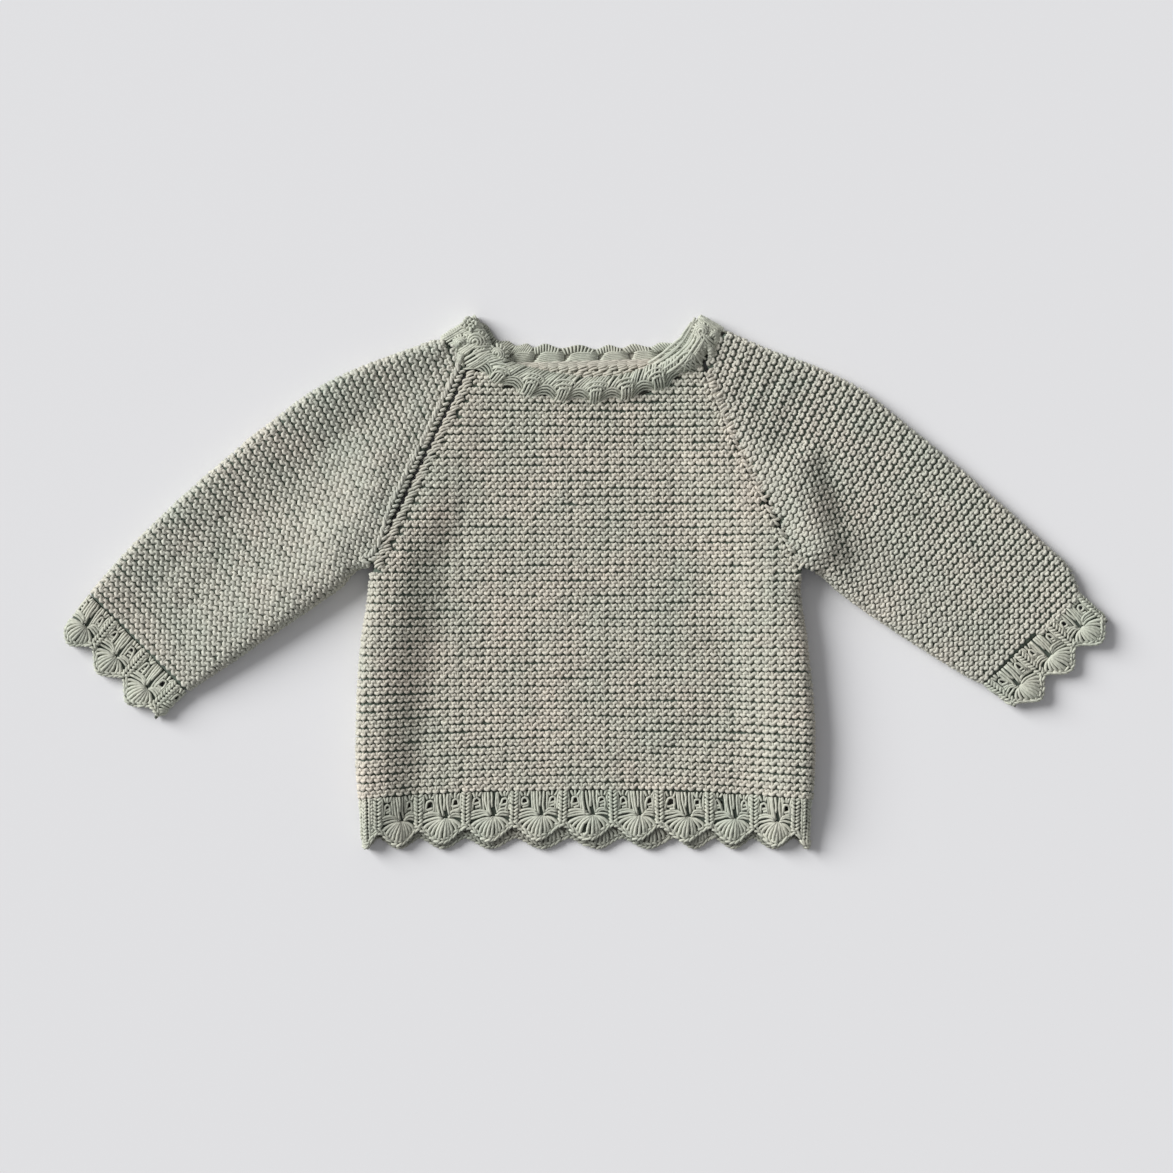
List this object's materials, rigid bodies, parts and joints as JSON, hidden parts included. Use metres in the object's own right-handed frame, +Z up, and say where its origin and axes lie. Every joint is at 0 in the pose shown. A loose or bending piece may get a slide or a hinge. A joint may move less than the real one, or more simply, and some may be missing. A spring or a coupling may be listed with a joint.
{
  "type": "baby sweater",
  "caption": "Hand-knitted baby sweater in garter stitch, laid flat, with raglan sleeves and scalloped lace at neck, hem and cuffs.",
  "frame": {"origin": "on the table, below the middle of the laid garment's length and width", "axes": "+X from the left cuff to the right cuff as the picture shows them, +Y from the hem to the neck, +Z up off the table"},
  "size_m": [0.6009, 0.3063, 0.0113],
  "materials": {
    "body_yarn": "matte grey-sage cotton yarn, knitted in garter ridges",
    "back_yarn": "matte grey-sage cotton yarn, knitted in garter ridges",
    "sleeve_yarn": "matte grey-sage cotton yarn, knitted in garter ridges",
    "lace_yarn": "matte grey-sage cotton yarn, knitted lace with eyelets",
    "edging_yarn": "matte grey-sage cotton yarn, rolled and gathered edging"
  },
  "bodies": {
    "root": {"front_panel": "body_yarn", "back_panel": "back_yarn", "sleeve_left": "sleeve_yarn", "sleeve_right": "sleeve_yarn", "hem_lace_front": "lace_yarn", "hem_lace_back": "lace_yarn", "cuff_left_lace_upper": "lace_yarn", "cuff_left_lace_lower": "lace_yarn", "cuff_right_lace_upper": "lace_yarn", "cuff_right_lace_lower": "lace_yarn", "neck_edging_front": "edging_yarn", "neck_edging_back": "edging_yarn"}
  },
  "joints": []
}
